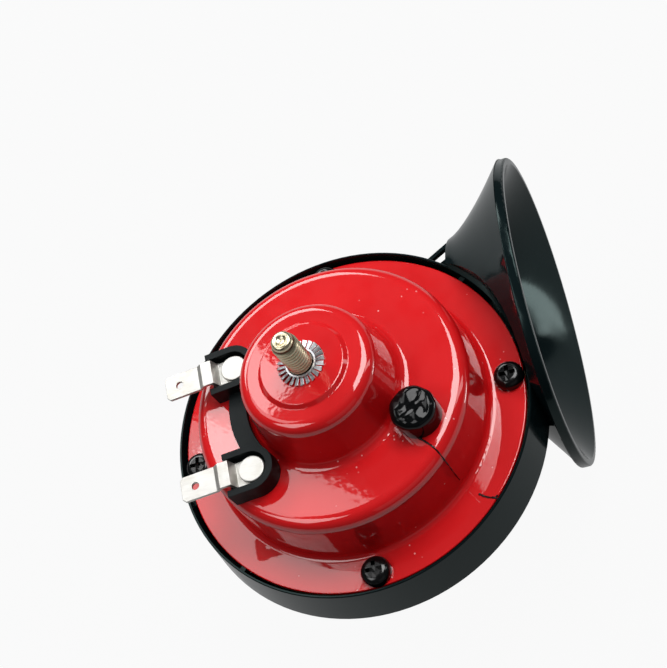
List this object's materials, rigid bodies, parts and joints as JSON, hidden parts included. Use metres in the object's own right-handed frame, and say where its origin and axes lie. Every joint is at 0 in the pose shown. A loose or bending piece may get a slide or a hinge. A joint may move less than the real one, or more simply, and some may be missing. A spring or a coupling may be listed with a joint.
{
  "type": "car horn",
  "caption": "Electric snail horn for a car: glossy moulded trumpet shell, red pressed rear cover with a mounting stud, blade terminals and a sealed adjusting screw.",
  "frame": {"origin": "on the stud's axis, where the mounting bracket bears on the toothed washer", "axes": "+Z out along the mounting stud, away from the rear cover; +X the way the bell faces, its mouth lying across X; the bell is on the +Y side"},
  "size_m": [0.0958, 0.1124, 0.1026],
  "materials": {
    "shell_plastic": "glossy moulded ABS, near black with a green-blue cast",
    "red_paint": "glossy red enamel on pressed steel",
    "black_screws": "black zinc",
    "gasket_paper": "oiled paper",
    "spring_steel": "rolled spring steel",
    "yellow_zinc": "yellow passivated zinc on rolled thread",
    "bright_zinc": "bright zinc",
    "soft_iron": "turned soft iron",
    "bobbin_nylon": "natural nylon",
    "enamelled_copper": "enamelled copper wire",
    "block_plastic": "satin moulded phenolic",
    "plated_brass": "tin-plated brass",
    "fibre_board": "phenolic board",
    "black_sealant": "glossy cured sealant",
    "bronze_strip": "rolled phosphor bronze",
    "tungsten": "ground tungsten"
  },
  "bodies": {
    "housing": {"horn_shell": "shell_plastic", "duct_plate": "shell_plastic", "rear_cover": "red_paint", "cover_screws": "black_screws", "rear_gasket": "gasket_paper", "front_gasket": "gasket_paper", "diaphragm": "spring_steel", "mounting_stud": "yellow_zinc", "toothed_washer": "bright_zinc", "pole_core": "soft_iron", "coil_bobbin": "bobbin_nylon", "coil_winding": "enamelled_copper", "terminal_block": "block_plastic", "terminal_upper": "plated_brass", "terminal_lower": "plated_brass", "terminal_rivets": "plated_brass", "rivet_insulators": "fibre_board", "adjusting_screw": "bright_zinc", "screw_sealant": "black_sealant", "breaker_bracket": "bright_zinc", "contact_tag": "bronze_strip", "fixed_contact": "bronze_strip", "fixed_point": "tungsten", "breaker_insulators": "fibre_board", "breaker_rivet": "bright_zinc", "adjuster_pad": "fibre_board"},
    "armature": {"armature": "soft_iron", "stiffener_washer": "bright_zinc", "armature_nut": "bright_zinc"},
    "contact_arm": {"contact_spring": "bronze_strip", "moving_point": "tungsten"}
  },
  "joints": [
    {"name": "armature_travel", "type": "slide", "parent": "housing", "child": "armature", "axis": [0, 0, 1], "range_m": [0, 0.0006], "stiffness_N_per_m": 2000, "deforming": ["diaphragm"]},
    {"name": "contact_swing", "type": "hinge", "parent": "housing", "child": "contact_arm", "pos_m": [0.00392, -0.02239, -0.0206], "axis": [0.5108, -0.8597, 0], "range_deg": [0, 4.95]}
  ],
  "couplings": [
    {"joint": "contact_swing", "follows": "armature_travel", "rad_per_m": 139.74}
  ]
}
